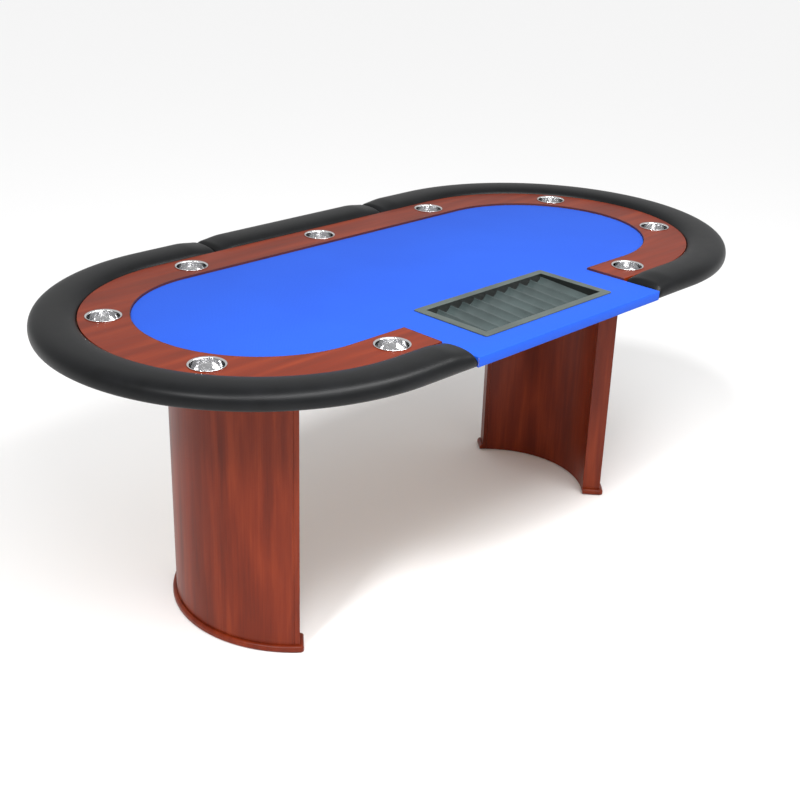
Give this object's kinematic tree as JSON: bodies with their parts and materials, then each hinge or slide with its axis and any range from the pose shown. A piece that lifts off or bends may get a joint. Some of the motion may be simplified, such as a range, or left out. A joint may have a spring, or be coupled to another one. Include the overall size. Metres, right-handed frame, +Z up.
{
  "type": "poker table",
  "caption": "Oval poker table with a padded black armrest, wood-look racetrack with drop-in cups, blue felt, dealer cut-out with chip tray, and two C-shaped panel legs.",
  "frame": {"origin": "centre of the footprint on the floor", "axes": "+Z up, +X along the long axis to the right of a dealer who sits on the -Y side facing +Y"},
  "size_m": [2.08, 1.07, 0.81],
  "materials": {
    "mdf": "plain fibreboard, hidden under the top",
    "plywood": "raw plywood, hidden",
    "pine": "planed softwood, unfinished",
    "foam": "thin foam underlay",
    "felt": "bright blue speed cloth, matt",
    "mahogany_top": "reddish wood-look laminate, satin",
    "mahogany_leg": "dark reddish wood-look laminate, satin, upright grain",
    "edge_band": "dark edge band",
    "leatherette": "black smooth leatherette with a soft sheen",
    "tray_plastic": "dark grey moulded plastic, semi-matt",
    "stainless": "spun and polished stainless steel",
    "zinc": "zinc-plated steel",
    "glide": "black rubber glide"
  },
  "bodies": {
    "table": {"deck": "mdf", "deck_ring": "mdf", "deck_edge": "mdf", "felt_foam": "foam", "playing_felt": "felt", "racetrack": "mahogany_top", "racetrack_edging": "edge_band", "rail_core_left": "plywood", "rail_core_back": "plywood", "rail_core_right": "plywood", "rail_pad_left": "leatherette", "rail_pad_back": "leatherette", "rail_pad_right": "leatherette", "rail_bolts": "zinc", "beam_front": "pine", "beam_back": "pine", "cross_beams": "pine", "corner_brackets": "zinc", "bracket_screws": "zinc", "leg_plate_left": "plywood", "leg_plate_right": "plywood", "leg_bolts": "zinc", "outer_skin_left": "mahogany_leg", "outer_skin_right": "mahogany_leg", "inner_skin_left": "mahogany_leg", "inner_skin_right": "mahogany_leg", "end_strips_left": "mahogany_leg", "end_strips_right": "mahogany_leg", "leg_ribs_left": "pine", "leg_ribs_right": "pine", "leg_caps_left": "plywood", "leg_caps_right": "plywood", "leg_soles_left": "plywood", "leg_soles_right": "plywood", "base_moulding_left": "mahogany_leg", "base_moulding_right": "mahogany_leg", "leg_glides": "glide"},
    "chip_tray": {"chip_tray": "tray_plastic", "chip_rows": "tray_plastic"},
    "cup_1": {"cup_1": "stainless"},
    "cup_2": {"cup_2": "stainless"},
    "cup_3": {"cup_3": "stainless"},
    "cup_4": {"cup_4": "stainless"},
    "cup_5": {"cup_5": "stainless"},
    "cup_6": {"cup_6": "stainless"},
    "cup_7": {"cup_7": "stainless"},
    "cup_8": {"cup_8": "stainless"},
    "cup_9": {"cup_9": "stainless"}
  },
  "joints": [
    {"name": "chip_tray_lift", "type": "slide", "parent": "table", "child": "chip_tray", "axis": [0, 0, 1], "range_m": [0, 0.12]},
    {"name": "cup_1_lift", "type": "slide", "parent": "table", "child": "cup_1", "axis": [0, 0, 1], "range_m": [0, 0.1]},
    {"name": "cup_2_lift", "type": "slide", "parent": "table", "child": "cup_2", "axis": [0, 0, 1], "range_m": [0, 0.1]},
    {"name": "cup_3_lift", "type": "slide", "parent": "table", "child": "cup_3", "axis": [0, 0, 1], "range_m": [0, 0.1]},
    {"name": "cup_4_lift", "type": "slide", "parent": "table", "child": "cup_4", "axis": [0, 0, 1], "range_m": [0, 0.1]},
    {"name": "cup_5_lift", "type": "slide", "parent": "table", "child": "cup_5", "axis": [0, 0, 1], "range_m": [0, 0.1]},
    {"name": "cup_6_lift", "type": "slide", "parent": "table", "child": "cup_6", "axis": [0, 0, 1], "range_m": [0, 0.1]},
    {"name": "cup_7_lift", "type": "slide", "parent": "table", "child": "cup_7", "axis": [0, 0, 1], "range_m": [0, 0.1]},
    {"name": "cup_8_lift", "type": "slide", "parent": "table", "child": "cup_8", "axis": [0, 0, 1], "range_m": [0, 0.1]},
    {"name": "cup_9_lift", "type": "slide", "parent": "table", "child": "cup_9", "axis": [0, 0, 1], "range_m": [0, 0.1]}
  ]
}
